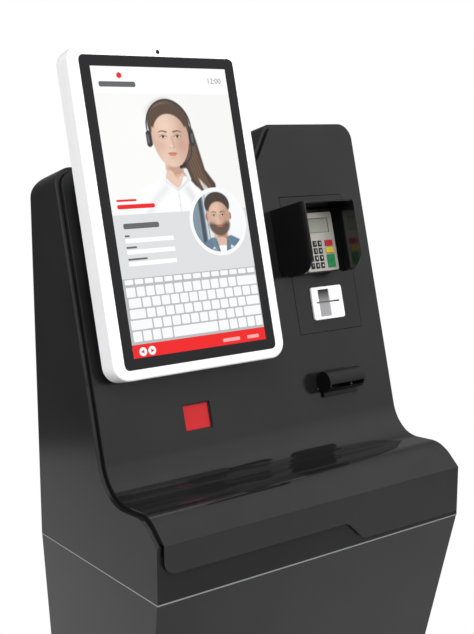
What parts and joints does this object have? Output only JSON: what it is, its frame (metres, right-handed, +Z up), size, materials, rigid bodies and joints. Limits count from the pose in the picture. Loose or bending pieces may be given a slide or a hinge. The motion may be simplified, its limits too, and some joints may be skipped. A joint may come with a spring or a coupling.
{
  "type": "video banking kiosk",
  "caption": "Free-standing banking kiosk with a sloping fascia, portrait touch display, hooded PIN pad, card reader, receipt outlet and scanner window on a tapered cabinet.",
  "frame": {"origin": "on the floor, under the middle of the kiosk's width and depth", "axes": "+X to the right as the user faces the screen, +Y to the rear door side, +Z up; the user stands on the -Y side"},
  "size_m": [0.74, 0.442, 1.5617],
  "materials": {
    "body_paint": "smooth black powder coat, slight gloss",
    "plinth_paint": "matt black powder coat",
    "polished_trim": "polished edge",
    "zinc_steel": "zinc plated",
    "lock_chrome": "chrome plated",
    "hood_plastic": "high gloss",
    "black_plastic": "fine texture",
    "pad_metal": "satin, warm grey",
    "lcd_glass": "grey-green liquid crystal window",
    "key_rubber": "matt",
    "key_black": "satin caps with light digits",
    "key_red": "satin",
    "key_yellow": "satin",
    "key_green": "satin",
    "white_bezel": "gloss",
    "device_steel": "plain sheet",
    "shutter_steel": "plain",
    "roller_rubber": "matt",
    "gear_plastic": "plain",
    "paper": "thermal paper",
    "scanner_red": "gloss, translucent red filter",
    "display_white": "gloss white",
    "display_glass": "clear cover glass with a black printed border",
    "display_module": "lit colour picture",
    "camera_glass": "dark lens",
    "mount_paint": "matt black",
    "case_paint": "matt black",
    "fan_plastic": "plain"
  },
  "bodies": {
    "kiosk": {"plinth": "plinth_paint", "levelling_feet": "zinc_steel", "lower_cabinet": "body_paint", "seam_trim": "polished_trim", "upper_housing": "body_paint", "door_hinges": "zinc_steel", "hinge_pins": "zinc_steel", "fascia": "body_paint", "insert_panel": "body_paint", "pin_pad_hood": "hood_plastic", "pin_pad_base": "black_plastic", "pin_pad_cover": "pad_metal", "pin_pad_display": "lcd_glass", "keypad_mat": "key_rubber", "card_bezel": "white_bezel", "card_reader": "device_steel", "receipt_outlet": "black_plastic", "receipt_printer": "device_steel", "feed_motor": "device_steel", "paper_spindle": "zinc_steel", "scanner_window": "scanner_red", "scanner_housing": "black_plastic", "display_frame": "display_white", "display_glass": "display_glass", "display_panel": "display_module", "display_back_cover": "display_white", "display_camera": "camera_glass", "display_mount": "mount_paint", "computer_case": "case_paint", "power_supply": "device_steel", "power_inlet": "black_plastic", "deck_bolts": "zinc_steel", "equipment_shelf": "device_steel"},
    "upper_door": {"upper_rear_door": "body_paint"},
    "lower_door": {"lower_rear_door": "body_paint"},
    "upper_lock": {"upper_door_lock": "lock_chrome"},
    "lower_lock": {"lower_door_lock": "lock_chrome"},
    "shutter": {"card_shutter": "shutter_steel"},
    "feed_roller": {"card_feed_roller": "roller_rubber"},
    "pressure_roller": {"card_pressure_roller": "roller_rubber"},
    "platen": {"platen_roller": "roller_rubber"},
    "pinion": {"feed_pinion": "gear_plastic"},
    "receipt_paper": {"paper_roll": "paper"},
    "fan": {"cooling_fan": "fan_plastic"},
    "key_1_button": {"key_1": "key_black"},
    "key_2_button": {"key_2": "key_black"},
    "key_3_button": {"key_3": "key_black"},
    "key_4_button": {"key_4": "key_black"},
    "key_5_button": {"key_5": "key_black"},
    "key_6_button": {"key_6": "key_black"},
    "key_7_button": {"key_7": "key_black"},
    "key_8_button": {"key_8": "key_black"},
    "key_9_button": {"key_9": "key_black"},
    "key_star_button": {"key_star": "key_black"},
    "key_0_button": {"key_0": "key_black"},
    "key_hash_button": {"key_hash": "key_black"},
    "key_cancel_button": {"key_cancel": "key_red"},
    "key_clear_button": {"key_clear": "key_yellow"},
    "key_enter_button": {"key_enter": "key_green"}
  },
  "joints": [
    {"name": "key_1_press", "type": "slide", "parent": "kiosk", "child": "key_1_button", "axis": [0, 0.9659, -0.2588], "range_m": [0, 0.0015], "stiffness_N_per_m": 300, "springref_m": -0.001},
    {"name": "key_2_press", "type": "slide", "parent": "kiosk", "child": "key_2_button", "axis": [0, 0.9659, -0.2588], "range_m": [0, 0.0015], "stiffness_N_per_m": 300, "springref_m": -0.001},
    {"name": "key_3_press", "type": "slide", "parent": "kiosk", "child": "key_3_button", "axis": [0, 0.9659, -0.2588], "range_m": [0, 0.0015], "stiffness_N_per_m": 300, "springref_m": -0.001},
    {"name": "key_4_press", "type": "slide", "parent": "kiosk", "child": "key_4_button", "axis": [0, 0.9659, -0.2588], "range_m": [0, 0.0015], "stiffness_N_per_m": 300, "springref_m": -0.001},
    {"name": "key_5_press", "type": "slide", "parent": "kiosk", "child": "key_5_button", "axis": [0, 0.9659, -0.2588], "range_m": [0, 0.0015], "stiffness_N_per_m": 300, "springref_m": -0.001},
    {"name": "key_6_press", "type": "slide", "parent": "kiosk", "child": "key_6_button", "axis": [0, 0.9659, -0.2588], "range_m": [0, 0.0015], "stiffness_N_per_m": 300, "springref_m": -0.001},
    {"name": "key_7_press", "type": "slide", "parent": "kiosk", "child": "key_7_button", "axis": [0, 0.9659, -0.2588], "range_m": [0, 0.0015], "stiffness_N_per_m": 300, "springref_m": -0.001},
    {"name": "key_8_press", "type": "slide", "parent": "kiosk", "child": "key_8_button", "axis": [0, 0.9659, -0.2588], "range_m": [0, 0.0015], "stiffness_N_per_m": 300, "springref_m": -0.001},
    {"name": "key_9_press", "type": "slide", "parent": "kiosk", "child": "key_9_button", "axis": [0, 0.9659, -0.2588], "range_m": [0, 0.0015], "stiffness_N_per_m": 300, "springref_m": -0.001},
    {"name": "key_star_press", "type": "slide", "parent": "kiosk", "child": "key_star_button", "axis": [0, 0.9659, -0.2588], "range_m": [0, 0.0015], "stiffness_N_per_m": 300, "springref_m": -0.001},
    {"name": "key_0_press", "type": "slide", "parent": "kiosk", "child": "key_0_button", "axis": [0, 0.9659, -0.2588], "range_m": [0, 0.0015], "stiffness_N_per_m": 300, "springref_m": -0.001},
    {"name": "key_hash_press", "type": "slide", "parent": "kiosk", "child": "key_hash_button", "axis": [0, 0.9659, -0.2588], "range_m": [0, 0.0015], "stiffness_N_per_m": 300, "springref_m": -0.001},
    {"name": "key_cancel_press", "type": "slide", "parent": "kiosk", "child": "key_cancel_button", "axis": [0, 0.9659, -0.2588], "range_m": [0, 0.0015], "stiffness_N_per_m": 300, "springref_m": -0.001},
    {"name": "key_clear_press", "type": "slide", "parent": "kiosk", "child": "key_clear_button", "axis": [0, 0.9659, -0.2588], "range_m": [0, 0.0015], "stiffness_N_per_m": 300, "springref_m": -0.001},
    {"name": "key_enter_press", "type": "slide", "parent": "kiosk", "child": "key_enter_button", "axis": [0, 0.9659, -0.2588], "range_m": [0, 0.0015], "stiffness_N_per_m": 300, "springref_m": -0.001},
    {"name": "upper_door_hinge", "type": "hinge", "parent": "kiosk", "child": "upper_door", "pos_m": [0.331, 0.2162, 0.96], "axis": [0, 0, -1], "range_deg": [0, 110]},
    {"name": "lower_door_hinge", "type": "hinge", "parent": "kiosk", "child": "lower_door", "pos_m": [0.303, 0.2162, 0.355], "axis": [0, 0, -1], "range_deg": [0, 110]},
    {"name": "upper_lock_turn", "type": "hinge", "parent": "upper_door", "child": "upper_lock", "pos_m": [-0.3, 0.211, 0.96], "axis": [0, -1, 0], "range_deg": [0, 90]},
    {"name": "lower_lock_turn", "type": "hinge", "parent": "lower_door", "child": "lower_lock", "pos_m": [-0.272, 0.211, 0.355], "axis": [0, -1, 0], "range_deg": [0, 90]},
    {"name": "card_shutter_slide", "type": "slide", "parent": "kiosk", "child": "shutter", "axis": [0, 0.2588, 0.9659], "range_m": [0, 0.009], "stiffness_N_per_m": 60, "springref_m": -0.002},
    {"name": "card_feed_spin", "type": "hinge", "parent": "kiosk", "child": "feed_roller", "pos_m": [0.218, 0.06932, 1.03243], "axis": [1, 0, 0], "continuous": true},
    {"name": "card_pressure_spin", "type": "hinge", "parent": "kiosk", "child": "pressure_roller", "pos_m": [0.218, 0.07326, 1.04712], "axis": [1, 0, 0], "continuous": true},
    {"name": "paper_roll_spin", "type": "hinge", "parent": "kiosk", "child": "receipt_paper", "pos_m": [0.205, 0.06878, 0.8952], "axis": [1, 0, 0], "continuous": true},
    {"name": "platen_spin", "type": "hinge", "parent": "kiosk", "child": "platen", "pos_m": [0.205, 0.00936, 0.8666], "axis": [1, 0, 0], "continuous": true},
    {"name": "pinion_spin", "type": "hinge", "parent": "kiosk", "child": "pinion", "pos_m": [0.262, 0.02704, 0.86187], "axis": [1, 0, 0], "continuous": true},
    {"name": "fan_spin", "type": "hinge", "parent": "kiosk", "child": "fan", "pos_m": [0.1, 0.11, 0.378], "axis": [0, 1, 0], "continuous": true}
  ],
  "couplings": [
    {"joint": "card_pressure_spin", "follows": "card_feed_spin", "ratio": -1},
    {"joint": "platen_spin", "follows": "paper_roll_spin", "ratio": -4.375},
    {"joint": "pinion_spin", "follows": "paper_roll_spin", "ratio": 8.75}
  ]
}
